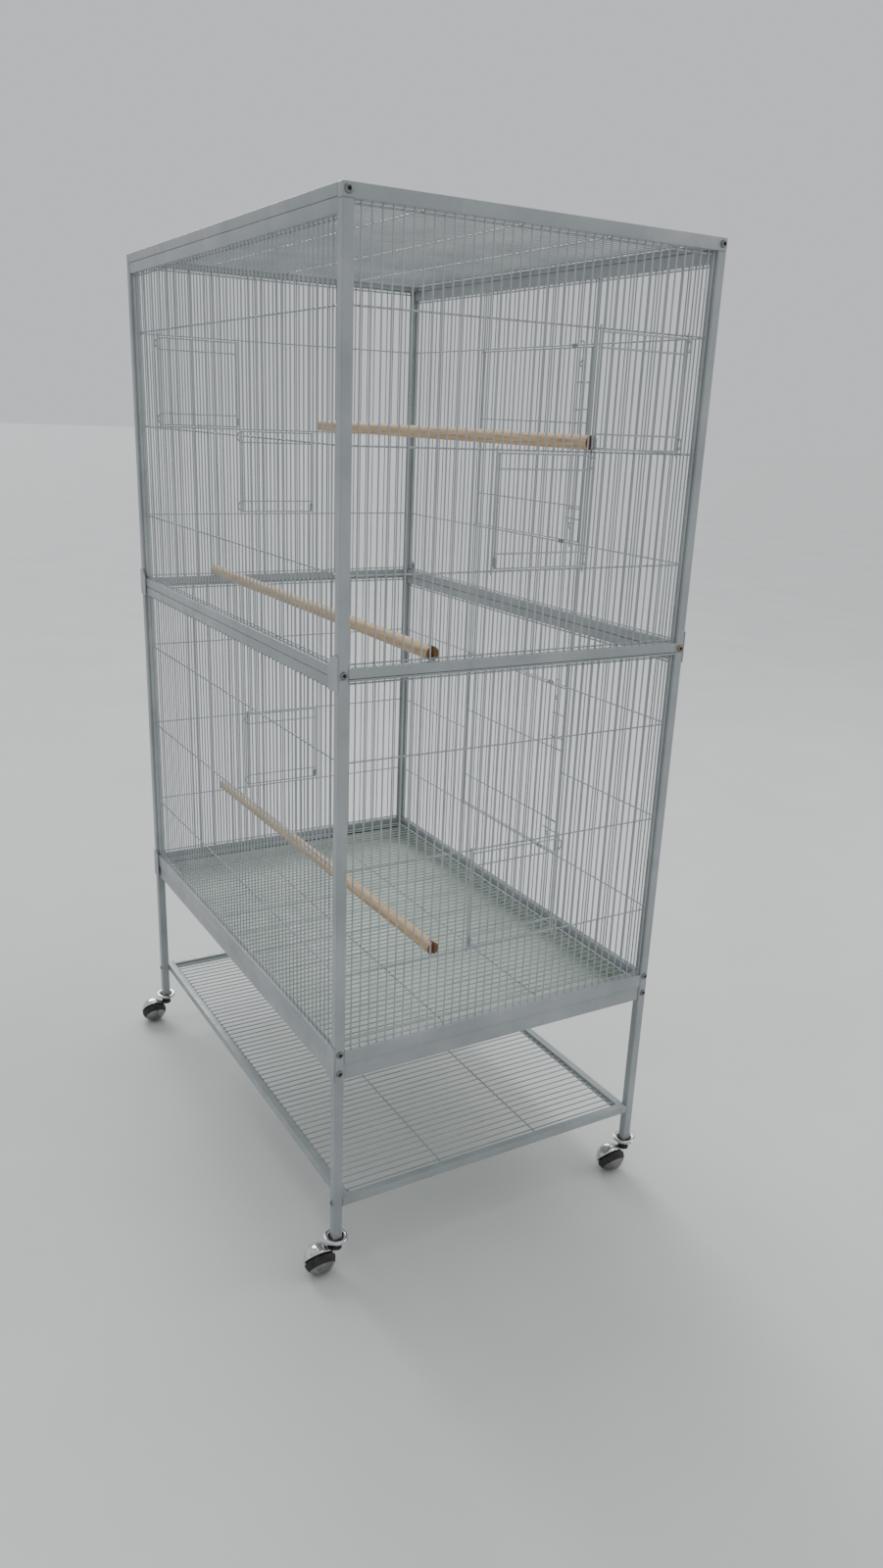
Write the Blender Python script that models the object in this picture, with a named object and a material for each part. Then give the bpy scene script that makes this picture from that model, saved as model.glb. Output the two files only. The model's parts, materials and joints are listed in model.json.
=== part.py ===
"""Two-tier wire bird cage on a four-legged rolling stand, built as separate named sub-parts.

Metres, +Z up. The front, with the two large doors, faces -Y. The cage is laid out about its own
centre and then moved by FOOTPRINT_SHIFT, so the origin is the middle of the whole footprint.
"""

import math

import bmesh
import bpy
from mathutils import Matrix, Vector

# ---- overall sizes ------------------------------------------------------------------------------
LENGTH = 0.790
WIDTH = 0.519
HEIGHT = 1.346
FOOTPRINT_SHIFT = Vector((0.0, -0.01525, 0.0))
CLEAR = 0.0003
CORNERS = (("back_left", -1, 1), ("back_right", 1, 1), ("front_left", -1, -1), ("front_right", 1, -1))

# ---- posts and legs -----------------------------------------------------------------------------
POST = 0.013
POST_CHAMFER = 0.0012
LEG_FOOT_Z = 0.0503
BASE_Z = 0.3236
BELT_JOINT_Z = 0.8350
TOP_RAIL_Z = 1.3305

# ---- wire panels --------------------------------------------------------------------------------
PANEL_INSET = 0.0005
RAIL_DEPTH = 0.010
STILE = 0.003
BAR_PLANE = 0.0055
BAR_RADIUS = 0.0013
CROSS_RADIUS = 0.0012
CROSS_SETBACK = 0.0032
SEAT = 0.002
CROSS_UPPER = (1.2323, 1.0922, 0.9521)
CROSS_LOWER = (0.7324, 0.5926, 0.4501)
LONG_BARS = 59
LONG_PITCH = 0.0129
END_UPPER_BARS = 39
END_UPPER_PITCH = 0.0124
END_LOWER_BARS = 38
END_LOWER_PITCH = 0.0127
DOOR_CLEAR = 0.0010

# ---- doors --------------------------------------------------------------------------------------
FRAME_WIRE = 0.0015
DOOR_WIRE = 0.0012
FRAME_DEPTH_IN = 0.0047
DOOR_DEPTH_IN = 0.0013
DOOR_DEPTH_OUT = 0.0042
DOOR_LINE_OFFSET = 0.0028
FRONT_DOOR_HALF_BARS = 11.5
FEEDER_LOOP = 0.018
LATCH_WIRE = 0.0012
LATCH_SPACING = 0.0085
LATCH_INSET = 0.0319
LATCH_LINK = 0.0195
PLATE_THICK = 0.0016
BELT_PLATE_REACH = 0.0250
BASE_PLATE_REACH = 0.0220

# ---- roof, grate, tray, shelf -------------------------------------------------------------------
ROOF_Z = 1.3330
ROOF_RAIL = 0.012
BAND_BOTTOM_Z = 0.3012
BAND_TOP_Z = 0.3232
BAND_RECESS = 0.0025
BAND_WALL = 0.003
BAND_LEDGE = 0.0245
LEDGE_THICK = 0.0015
TRAY_WALL = 0.0014
TRAY_LIP = 0.0022
SEAM = 0.00005
TRAY_HALF_X = 0.3803
TRAY_BACK_Y = 0.2515
TRAY_FRONT_Y = -0.2545
GRATE_BOTTOM_Z = 0.3252
GRATE_TOP_Z = 0.3345
GRATE_WIRE_Z = 0.3325
SHELF_TOP_Z = 0.1139
SHELF_HEIGHT = 0.012
SHELF_RAIL = 0.012
SHELF_HALF_WIDTH = WIDTH / 2 - POST - CLEAR

# ---- perches and casters ------------------------------------------------------------------------
PERCH_RADIUS = 0.009
PERCH_HALF_LENGTH = 0.3879
PERCH_SLOT = 0.0036
PERCH_SLOT_DEPTH = 0.010
PERCHES = (
    ("upper", -0.0806, -0.0690, 1.1032),
    ("middle", 0.1320, 0.1320, 0.8571),
    ("lower", 0.1150, 0.1260, 0.4611),
)
BALL_RADIUS = 0.0225
BALL_TRAIL = 0.025
BALL_TILT = math.radians(35)
SEAM_GAP = 0.0004
NECK_RADIUS = 0.008


# ---- materials ----------------------------------------------------------------------------------
def make_material(name, colour, metallic, roughness):
    material = bpy.data.materials.new(name)
    material.use_nodes = True
    shader = material.node_tree.nodes["Principled BSDF"]
    shader.inputs["Base Color"].default_value = (*colour, 1.0)
    shader.inputs["Metallic"].default_value = metallic
    shader.inputs["Roughness"].default_value = roughness
    return material


# ---- mesh building ------------------------------------------------------------------------------
def add_box(bm, lo, hi):
    """A closed box from corner lo to corner hi."""
    size = Vector(hi) - Vector(lo)
    centre = (Vector(hi) + Vector(lo)) / 2
    matrix = Matrix.Translation(centre) @ Matrix.Diagonal((*size, 1.0))
    bmesh.ops.create_cube(bm, size=1.0, matrix=matrix)


def add_prism(bm, start, end, radius, sides, turn=0.0):
    """A closed straight wire with a regular cross-section."""
    start = Vector(start)
    end = Vector(end)
    axis = end - start
    matrix = Matrix.Translation((start + end) / 2) @ axis.to_track_quat("Z", "Y").to_matrix().to_4x4()
    matrix = matrix @ Matrix.Rotation(turn, 4, "Z")
    bmesh.ops.create_cone(
        bm, cap_ends=True, cap_tris=False, segments=sides,
        radius1=radius, radius2=radius, depth=axis.length, matrix=matrix,
    )


def add_extrusion(bm, outline, lo, hi, place):
    """A closed prism of a flat outline; place(u, v, w) gives the world point."""
    low = [bm.verts.new(place(u, v, lo)) for u, v in outline]
    high = [bm.verts.new(place(u, v, hi)) for u, v in outline]
    bm.faces.new(low)
    bm.faces.new(list(reversed(high)))
    count = len(outline)
    for i in range(count):
        j = (i + 1) % count
        bm.faces.new((low[j], low[i], high[i], high[j]))


def add_ring(bm, outer, inner, lo, hi, place):
    """A closed rectangular frame: outer and inner are (u0, v0, u1, v1)."""
    rings = []
    for u0, v0, u1, v1 in (outer, inner):
        corners = ((u0, v0), (u1, v0), (u1, v1), (u0, v1))
        rings.append([[bm.verts.new(place(u, v, w)) for u, v in corners] for w in (lo, hi)])
    (outer_lo, outer_hi), (inner_lo, inner_hi) = rings
    for i in range(4):
        j = (i + 1) % 4
        bm.faces.new((outer_lo[i], outer_lo[j], inner_lo[j], inner_lo[i]))
        bm.faces.new((outer_hi[j], outer_hi[i], inner_hi[i], inner_hi[j]))
        bm.faces.new((outer_lo[j], outer_lo[i], outer_hi[i], outer_hi[j]))
        bm.faces.new((inner_lo[i], inner_lo[j], inner_hi[j], inner_hi[i]))


def new_object(name, bm, material):
    bmesh.ops.recalc_face_normals(bm, faces=bm.faces)
    mesh = bpy.data.meshes.new(name)
    bm.to_mesh(mesh)
    bm.free()
    obj = bpy.data.objects.new(name, mesh)
    bpy.context.scene.collection.objects.link(obj)
    mesh.materials.append(material)
    return obj


def combine(obj, operation, bm):
    """Applies one exact Boolean with the bodies held in bm."""
    tool = new_object("tool", bm, obj.data.materials[0])
    modifier = obj.modifiers.new("combine", "BOOLEAN")
    modifier.operation = operation
    modifier.solver = "EXACT"
    modifier.object = tool
    graph = bpy.context.evaluated_depsgraph_get()
    result = bpy.data.meshes.new_from_object(obj.evaluated_get(graph))
    obj.modifiers.clear()
    old = obj.data
    obj.data = result
    bpy.data.meshes.remove(old)
    bpy.data.objects.remove(tool, do_unlink=True)
    return obj


def set_origin(obj, point):
    """Moves the object's origin to a world point, keeping its shape where it is."""
    obj.data.transform(Matrix.Translation(-Vector(point)))
    obj.location = Vector(point)


# ---- posts and legs -----------------------------------------------------------------------------
def chamfered_square(size, chamfer):
    half = size / 2
    cut = half - chamfer
    return (
        (cut, -half), (half, -cut), (half, cut), (cut, half),
        (-cut, half), (-half, cut), (-half, -cut), (-cut, -half),
    )


def build_upright(name, side_x, side_y, z0, z1, material):
    cx = side_x * (LENGTH - POST) / 2
    cy = side_y * (WIDTH - POST) / 2
    bm = bmesh.new()
    add_extrusion(
        bm, chamfered_square(POST, POST_CHAMFER), z0, z1, lambda u, v, w: Vector((cx + u, cy + v, w))
    )
    return new_object(name, bm, material)


# ---- wall panels --------------------------------------------------------------------------------
def bar_positions(count, pitch):
    return [(i - (count - 1) / 2) * pitch for i in range(count)]


def split_spans(position, z0, z1, openings):
    """The lengths of one upright bar left between the openings it crosses."""
    spans = []
    start = z0
    for u0, v0, u1, v1 in sorted(openings, key=lambda item: item[1]):
        if u0 < position < u1:
            spans.append((start, v0))
            start = v1
    spans.append((start, z1))
    return spans


def cross_spans(height, half, openings):
    """The lengths of one cross wire left beside an opening whose middle it would cross."""
    spans = []
    start = -half
    for u0, v0, u1, v1 in sorted(openings):
        if v0 + FRAME_WIRE < height < v1 - FRAME_WIRE:
            spans.append((start, u0))
            start = u1
    spans.append((start, half))
    return spans


def build_wall(name, place, half, z_low, z_high, rails, bars, crosses, openings, material, cap=None):
    """A wire wall panel: rails, thin stiles, upright bars, cross wires and framed door openings.

    place(u, v, w) maps along the wall, up, and inward from the outer face of the posts.
    """
    bottom, top = rails
    bm = bmesh.new()
    add_ring(
        bm, (-half, z_low, half, z_high), (-half + STILE, z_low + bottom, half - STILE, z_high - top),
        PANEL_INSET, PANEL_INSET + RAIL_DEPTH, place,
    )
    panel = new_object(name, bm, material)

    bm = bmesh.new()
    for u in bars:
        for v0, v1 in split_spans(u, z_low + bottom - SEAT, z_high - top + SEAT, openings):
            add_prism(bm, place(u, v0, BAR_PLANE), place(u, v1, BAR_PLANE), BAR_RADIUS, 3)
    combine(panel, "UNION", bm)

    if openings:
        bm = bmesh.new()
        w = FRAME_WIRE
        for u0, v0, u1, v1 in openings:
            add_ring(
                bm, (u0 - w, v0 - w, u1 + w, v1 + w), (u0 + w, v0 + w, u1 - w, v1 - w),
                BAR_PLANE - w, BAR_PLANE + FRAME_DEPTH_IN, place,
            )
        combine(panel, "UNION", bm)

    bm = bmesh.new()
    depth = BAR_PLANE + CROSS_SETBACK
    for v in crosses:
        for u0, u1 in cross_spans(v, half - STILE / 2, openings):
            add_prism(bm, place(u0, v, depth), place(u1, v, depth), CROSS_RADIUS, 4, math.radians(45))
    combine(panel, "UNION", bm)

    if cap:
        bm = bmesh.new()
        add_box(bm, *cap)
        combine(panel, "UNION", bm)
    return panel


def back_place(u, v, w):
    return Vector((u, WIDTH / 2 - w, v))


def front_place(u, v, w):
    return Vector((u, -WIDTH / 2 + w, v))


def left_place(u, v, w):
    return Vector((-LENGTH / 2 + w, u, v))


def right_place(u, v, w):
    return Vector((LENGTH / 2 - w, -u, v))


def end_door_boxes():
    """Openings of one end wall seen from its outside, with the wall's own along-wall sign."""
    pitch = END_UPPER_PITCH
    upper = (
        (-17.5 * pitch, CROSS_UPPER[1], -6.5 * pitch, CROSS_UPPER[0]),
        (-6.5 * pitch, CROSS_UPPER[2], 4.5 * pitch, CROSS_UPPER[1]),
    )
    lower = ((-6 * END_LOWER_PITCH, CROSS_LOWER[2], 5 * END_LOWER_PITCH, CROSS_LOWER[1]),)
    return upper, lower


def front_door_box(crosses):
    half = FRONT_DOOR_HALF_BARS * LONG_PITCH
    return (-half, crosses[2], half, crosses[0])


def build_walls(material):
    long_half = LENGTH / 2 - POST - CLEAR
    end_half = WIDTH / 2 - POST - CLEAR
    long_bars = bar_positions(LONG_BARS, LONG_PITCH)
    long_top = 1.3327
    for name, place, door in (("back", back_place, False), ("front", front_place, True)):
        build_wall(
            f"{name}_panel_upper", place, long_half, BELT_JOINT_Z + CLEAR, long_top, (0.0125, 0.0152),
            long_bars, CROSS_UPPER, [front_door_box(CROSS_UPPER)] if door else [], material,
        )
        build_wall(
            f"{name}_panel_lower", place, long_half, BASE_Z, BELT_JOINT_Z - CLEAR, (0.0196, 0.0130),
            long_bars, CROSS_LOWER, [front_door_box(CROSS_LOWER)] if door else [], material,
        )
    upper, lower = end_door_boxes()
    for name, place, side in (("left", left_place, -1), ("right", right_place, 1)):
        inner = side * (LENGTH / 2 - 0.0125)
        outer = side * LENGTH / 2
        cap = (
            (min(inner, outer), -WIDTH / 2, TOP_RAIL_Z + CLEAR),
            (max(inner, outer), WIDTH / 2, HEIGHT),
        )
        build_wall(
            f"{name}_end_upper", place, end_half, BELT_JOINT_Z + CLEAR, 1.3380, (0.0125, 0.0060),
            bar_positions(END_UPPER_BARS, END_UPPER_PITCH), CROSS_UPPER, upper, material, cap,
        )
        build_wall(
            f"{name}_end_lower", place, end_half, BASE_Z, BELT_JOINT_Z - CLEAR, (0.0196, 0.0030),
            bar_positions(END_LOWER_BARS, END_LOWER_PITCH), CROSS_LOWER, lower, material,
        )


# ---- flat wire decks: roof, floor grate and shelf -----------------------------------------------
def build_deck(name, half_x, half_y, z0, z1, rail, wire_z, cross_z, bars, crosses, material):
    """A tube frame with wires along Y and a few cross wires along X."""
    bm = bmesh.new()
    add_ring(
        bm, (-half_x, -half_y, half_x, half_y),
        (-half_x + rail, -half_y + rail, half_x - rail, half_y - rail),
        z0, z1, lambda u, v, w: Vector((u, v, w)),
    )
    deck = new_object(name, bm, material)
    bm = bmesh.new()
    reach_y = half_y - rail + SEAT
    for x in bars:
        add_prism(bm, (x, -reach_y, wire_z), (x, reach_y, wire_z), BAR_RADIUS, 3)
    combine(deck, "UNION", bm)
    bm = bmesh.new()
    reach_x = half_x - rail + SEAT
    for y in crosses:
        add_prism(bm, (-reach_x, y, cross_z), (reach_x, y, cross_z), CROSS_RADIUS, 4, math.radians(45))
    combine(deck, "UNION", bm)
    return deck


def build_decks(material):
    roof_half = LENGTH / 2 - 0.0125 - CLEAR
    build_deck(
        "roof_panel", roof_half, WIDTH / 2, ROOF_Z, HEIGHT, ROOF_RAIL, HEIGHT - 0.0045,
        HEIGHT - 0.0077, bar_positions(LONG_BARS, LONG_PITCH), (-0.13, 0.0, 0.13), material,
    )
    build_deck(
        "storage_shelf", LENGTH / 2, SHELF_HALF_WIDTH, SHELF_TOP_Z - SHELF_HEIGHT, SHELF_TOP_Z,
        SHELF_RAIL, SHELF_TOP_Z - 0.004, SHELF_TOP_Z - 0.0072, bar_positions(LONG_BARS, LONG_PITCH),
        (-0.082, 0.082), material,
    )
    build_deck(
        "floor_grate", LENGTH / 2 - 0.0145, WIDTH / 2 - 0.0125, GRATE_BOTTOM_Z, GRATE_TOP_Z, 0.005,
        GRATE_WIRE_Z, GRATE_WIRE_Z - 0.0032, bar_positions(LONG_BARS, 0.0126), (-0.08, 0.08), material,
    )


# ---- doors --------------------------------------------------------------------------------------
def build_door(name, place, box, bars, lines, hinge_side, material):
    """A wire door filling a wall opening, with its origin on the upright wire that it hinges on."""
    u0, v0, u1, v1 = box
    hinge_u = u1 if hinge_side > 0 else u0
    gap = FRAME_WIRE + DOOR_CLEAR
    u0, v0, u1, v1 = u0 + gap, v0 + gap, u1 - gap, v1 - gap
    wire = 2 * DOOR_WIRE
    bm = bmesh.new()
    add_ring(
        bm, (u0, v0, u1, v1), (u0 + wire, v0 + wire, u1 - wire, v1 - wire),
        BAR_PLANE - DOOR_DEPTH_OUT, BAR_PLANE + DOOR_DEPTH_IN, place,
    )
    door = new_object(name, bm, material)
    bm = bmesh.new()
    for u in bars:
        if u0 + wire < u - BAR_RADIUS and u + BAR_RADIUS < u1 - wire:
            low = place(u, v0 + DOOR_WIRE, BAR_PLANE)
            high = place(u, v1 - DOOR_WIRE, BAR_PLANE)
            add_prism(bm, low, high, BAR_RADIUS, 3)
    combine(door, "UNION", bm)
    bm = bmesh.new()
    depth = BAR_PLANE - DOOR_LINE_OFFSET
    for v in lines:
        add_prism(
            bm, place(u0 + DOOR_WIRE, v, depth), place(u1 - DOOR_WIRE, v, depth),
            CROSS_RADIUS, 4, math.radians(45),
        )
    combine(door, "UNION", bm)
    set_origin(door, place(hinge_u, (v0 + v1) / 2, BAR_PLANE))
    return door


def build_latch(name, box, material):
    """The sliding double-wire latch near the free edge of a front door, with two short links."""
    u0, v0, _, v1 = box
    depth = BAR_PLANE - DOOR_DEPTH_OUT - CLEAR - LATCH_WIRE
    near = u0 + LATCH_INSET
    far = near + LATCH_SPACING
    bm = bmesh.new()
    add_box(bm, front_place(near - LATCH_WIRE, v0 - 0.008, depth + LATCH_WIRE),
            front_place(near + LATCH_WIRE, v1 + 0.006, depth - LATCH_WIRE))
    latch = new_object(name, bm, material)
    bm = bmesh.new()
    add_box(bm, front_place(far - LATCH_WIRE, v0 + 0.030, depth + LATCH_WIRE),
            front_place(far + LATCH_WIRE, v1 - 0.030, depth - LATCH_WIRE))
    combine(latch, "UNION", bm)
    bm = bmesh.new()
    height = v1 - v0
    half = LATCH_WIRE * 0.8
    for fraction in (0.18, 0.82):
        v = v0 + fraction * height
        add_box(bm, front_place(near - LATCH_LINK, v - half, depth + half),
                front_place(far + LATCH_WIRE / 2, v + half, depth - half))
    combine(latch, "UNION", bm)
    set_origin(latch, front_place(near, (v0 + v1) / 2, depth))
    return latch


def build_doors(paint, wire):
    long_bars = bar_positions(LONG_BARS, LONG_PITCH)
    for tier, crosses in (("upper", CROSS_UPPER), ("lower", CROSS_LOWER)):
        box = front_door_box(crosses)
        lines = (crosses[0] - 0.1067, crosses[2] + 0.0545)
        build_door(f"front_door_{tier}", front_place, box, long_bars, lines, 1, wire)
        build_latch(f"front_latch_{tier}", box, wire)
    upper, lower = end_door_boxes()
    upper_bars = bar_positions(END_UPPER_BARS, END_UPPER_PITCH)
    lower_bars = bar_positions(END_LOWER_BARS, END_LOWER_PITCH)
    for end, place in (("left", left_place), ("right", right_place)):
        doors = (
            ("high", upper[0], upper_bars),
            ("middle", upper[1], upper_bars),
            ("low", lower[0], lower_bars),
        )
        for level, box, bars in doors:
            lines = (box[1] + FEEDER_LOOP, box[3] - FEEDER_LOOP)
            build_door(f"feeder_door_{end}_{level}", place, box, bars, lines, -1, wire)


# ---- tray and its band --------------------------------------------------------------------------
def build_band(material):
    """The band under the cage walls: three upright strips and an inner ledge that carries the tray."""
    end_half = WIDTH / 2 - POST - CLEAR
    long_half = LENGTH / 2 - POST - CLEAR
    x_out = LENGTH / 2 - BAND_RECESS
    y_out = WIDTH / 2 - BAND_RECESS
    bm = bmesh.new()
    add_ring(
        bm, (-long_half, TRAY_FRONT_Y + TRAY_WALL + CLEAR, long_half, y_out),
        (-LENGTH / 2 + BAND_LEDGE, -y_out + 0.016, LENGTH / 2 - BAND_LEDGE, y_out - 0.016),
        BAND_BOTTOM_Z, BAND_BOTTOM_Z + LEDGE_THICK, lambda u, v, w: Vector((u, v, w)),
    )
    band = new_object("tray_band", bm, material)
    bm = bmesh.new()
    add_box(bm, (-long_half, y_out - BAND_WALL, BAND_BOTTOM_Z), (long_half, y_out, BAND_TOP_Z))
    combine(band, "UNION", bm)
    for side in (-1, 1):
        bm = bmesh.new()
        x_in = side * (LENGTH / 2 - BAND_LEDGE)
        add_box(bm, (min(x_in, side * x_out), -end_half, BAND_BOTTOM_Z),
                (max(x_in, side * x_out), end_half, BAND_BOTTOM_Z + LEDGE_THICK))
        combine(band, "UNION", bm)
        bm = bmesh.new()
        x_wall = side * (x_out - BAND_WALL)
        add_box(bm, (min(x_wall, side * x_out), -end_half, BAND_BOTTOM_Z),
                (max(x_wall, side * x_out), end_half, BAND_TOP_Z))
        combine(band, "UNION", bm)
    return band


def build_tray(material):
    """A shallow pull-out tray as a floor, three walls and a front that closes the band."""
    floor_bottom = BAND_BOTTOM_Z + LEDGE_THICK + CLEAR
    floor_top = floor_bottom + TRAY_WALL
    wall_bottom = floor_top + SEAM
    wall_top = BAND_TOP_Z - 0.0006
    front_inner = TRAY_FRONT_Y + TRAY_WALL
    back_inner = TRAY_BACK_Y - TRAY_WALL
    side_inner = TRAY_HALF_X - TRAY_WALL
    lip_half = LENGTH / 2 - POST - 2 * CLEAR
    pieces = {
        "tray_floor": (
            (-TRAY_HALF_X, front_inner + SEAM, floor_bottom), (TRAY_HALF_X, TRAY_BACK_Y, floor_top),
        ),
        "tray_back": ((-TRAY_HALF_X, back_inner, wall_bottom), (TRAY_HALF_X, TRAY_BACK_Y, wall_top)),
        "tray_left": (
            (-TRAY_HALF_X, front_inner + SEAM, wall_bottom), (-side_inner, back_inner - SEAM, wall_top),
        ),
        "tray_right": (
            (side_inner, front_inner + SEAM, wall_bottom), (TRAY_HALF_X, back_inner - SEAM, wall_top),
        ),
        "tray_front": (
            (-lip_half, TRAY_FRONT_Y - TRAY_LIP, BAND_BOTTOM_Z), (lip_half, front_inner, BAND_TOP_Z - CLEAR),
        ),
    }
    for name, (lo, hi) in pieces.items():
        bm = bmesh.new()
        add_box(bm, lo, hi)
        new_object(name, bm, material)


# ---- connector plates ---------------------------------------------------------------------------
def build_connectors(material):
    """Pressed plates that tie each post to the one below; the front base is left open for the tray."""
    edge = 0.0006
    belt = BELT_PLATE_REACH
    base = BASE_PLATE_REACH
    shapes = {
        "belt": ((edge, 0.8205), (belt, 0.8205), (belt, 0.8490), (POST, 0.8627), (edge, 0.8627)),
        "base": ((edge, 0.3014), (base, 0.3014), (base, 0.3432), (POST, 0.3500), (edge, 0.3500)),
    }
    for level, outline in shapes.items():
        for face, side_y in (("back", 1), ("front", -1)):
            if level == "base" and face == "front":
                continue
            for end, side_x in (("left", -1), ("right", 1)):
                bm = bmesh.new()
                add_extrusion(
                    bm, outline, CLEAR, CLEAR + PLATE_THICK,
                    lambda u, v, w: Vector((side_x * (LENGTH / 2 - u), side_y * (WIDTH / 2 + w), v)),
                )
                new_object(f"connector_{level}_{face}_{end}", bm, material)


# ---- perches ------------------------------------------------------------------------------------
def build_perches(material):
    """Round perches laid from end wall to end wall, each end slotted for an upright wire."""
    for level, y_left, y_right, z in PERCHES:
        bm = bmesh.new()
        add_prism(bm, (-PERCH_HALF_LENGTH, y_left, z), (PERCH_HALF_LENGTH, y_right, z), PERCH_RADIUS, 20)
        perch = new_object(f"perch_{level}", bm, material)
        bm = bmesh.new()
        for side, y in ((-1, y_left), (1, y_right)):
            inner = side * (PERCH_HALF_LENGTH - PERCH_SLOT_DEPTH)
            outer = side * (PERCH_HALF_LENGTH + 0.005)
            add_box(bm, (min(inner, outer), y - PERCH_SLOT / 2, z - 0.02),
                    (max(inner, outer), y + PERCH_SLOT / 2, z + 0.02))
        combine(perch, "DIFFERENCE", bm)


# ---- casters ------------------------------------------------------------------------------------
def add_lathe(bm, profile, segments, matrix):
    """Turns a profile of (radius, height) points, pole to pole, about the matrix's Z axis."""
    rings = []
    for radius, height in profile:
        if radius == 0.0:
            rings.append([bm.verts.new(matrix @ Vector((0.0, 0.0, height)))])
            continue
        ring = []
        for i in range(segments):
            angle = 2 * math.pi * i / segments
            point = Vector((radius * math.cos(angle), radius * math.sin(angle), height))
            ring.append(bm.verts.new(matrix @ point))
        rings.append(ring)
    for lower, upper in zip(rings, rings[1:]):
        for i in range(segments):
            j = (i + 1) % segments
            if len(lower) == 1:
                bm.faces.new((lower[0], upper[i], upper[j]))
            elif len(upper) == 1:
                bm.faces.new((lower[i], lower[j], upper[0]))
            else:
                bm.faces.new((lower[i], lower[j], upper[j], upper[i]))


def ball_profile(sign):
    """Half of the caster ball on one side of its seam, with a ring of points at the tread."""
    tread = math.pi / 2 - BALL_TILT
    seam_height = sign * SEAM_GAP
    profile = [(0.0, seam_height), (math.sqrt(BALL_RADIUS ** 2 - SEAM_GAP ** 2), seam_height)]
    for angle in (tread * 1.3, tread, tread * 2 / 3, tread / 3):
        profile.append((BALL_RADIUS * math.sin(angle), sign * BALL_RADIUS * math.cos(angle)))
    profile.append((0.0, sign * BALL_RADIUS))
    return profile


def build_casters(chrome):
    """Four ball casters: a fixed flange, a swivelling hood and a rolling half-ball wheel."""
    axis = Vector((-math.cos(BALL_TILT), 0.0, -math.sin(BALL_TILT)))
    lead = Vector((math.sin(BALL_TILT), 0.0, -math.cos(BALL_TILT)))
    turn = Matrix((lead, axis.cross(lead), axis)).transposed().to_4x4()
    flange = (
        (0.0, 0.0446), (0.0070, 0.0446), (0.0070, 0.0464), (0.0150, 0.0464), (0.0170, 0.0480),
        (0.0170, 0.0510), (0.0155, 0.0526), (0.0125, 0.0526), (0.0115, 0.0500), (0.0, 0.0500),
    )
    for name, side_x, side_y in CORNERS:
        x = side_x * (LENGTH - POST) / 2
        y = side_y * (WIDTH - POST) / 2
        stem = Vector((x, y, 0.0))
        centre = Vector((x, y + BALL_TRAIL, BALL_RADIUS))
        bm = bmesh.new()
        add_lathe(bm, flange, 20, Matrix.Translation(stem))
        new_object(f"caster_flange_{name}", bm, chrome)

        bm = bmesh.new()
        add_lathe(bm, ball_profile(-1), 24, Matrix.Translation(centre) @ turn)
        hood = new_object(f"caster_hood_{name}", bm, chrome)
        bm = bmesh.new()
        add_prism(bm, (x, y, BALL_RADIUS + 0.0115), (x, y, 0.0443), NECK_RADIUS, 12)
        combine(hood, "UNION", bm)
        set_origin(hood, (x, y, BALL_RADIUS))

        bm = bmesh.new()
        add_lathe(bm, ball_profile(1), 24, Matrix.Translation(centre) @ turn)
        wheel = new_object(f"caster_wheel_{name}", bm, chrome)
        set_origin(wheel, centre)


# ---- build --------------------------------------------------------------------------------------
def main():
    for obj in list(bpy.data.objects):
        bpy.data.objects.remove(obj, do_unlink=True)
    paint = make_material("powder_coat_grey", (0.42, 0.45, 0.46), 0.6, 0.42)
    wire = make_material("wire_grey", (0.48, 0.51, 0.52), 0.6, 0.38)
    plastic = make_material("tray_plastic", (0.60, 0.66, 0.61), 0.0, 0.50)
    wood = make_material("perch_wood", (0.62, 0.45, 0.29), 0.0, 0.60)
    chrome = make_material("caster_chrome", (0.78, 0.79, 0.80), 1.0, 0.12)
    for name, side_x, side_y in CORNERS:
        build_upright(f"post_upper_{name}", side_x, side_y, BELT_JOINT_Z + CLEAR, TOP_RAIL_Z, paint)
        build_upright(f"post_lower_{name}", side_x, side_y, BASE_Z, BELT_JOINT_Z, paint)
        build_upright(f"leg_{name}", side_x, side_y, LEG_FOOT_Z, BASE_Z - CLEAR, paint)
    build_walls(paint)
    build_decks(paint)
    build_doors(paint, wire)
    build_band(paint)
    build_tray(plastic)
    build_connectors(paint)
    build_perches(wood)
    build_casters(chrome)
    for obj in bpy.data.objects:
        obj.location += FOOTPRINT_SHIFT
    bpy.context.view_layer.update()


main()
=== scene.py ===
"""Looks for the two-tier wire bird cage on its rolling stand.

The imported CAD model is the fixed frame. Fine round wires, bevelled rails, bolts, latches, casters and
finishes are built round it, placed from the boxes of its nodes. Metres, +Z up, large doors facing -Y.
"""

import json
import math
import random

import bmesh
import bpy
from mathutils import Matrix, Vector

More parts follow.
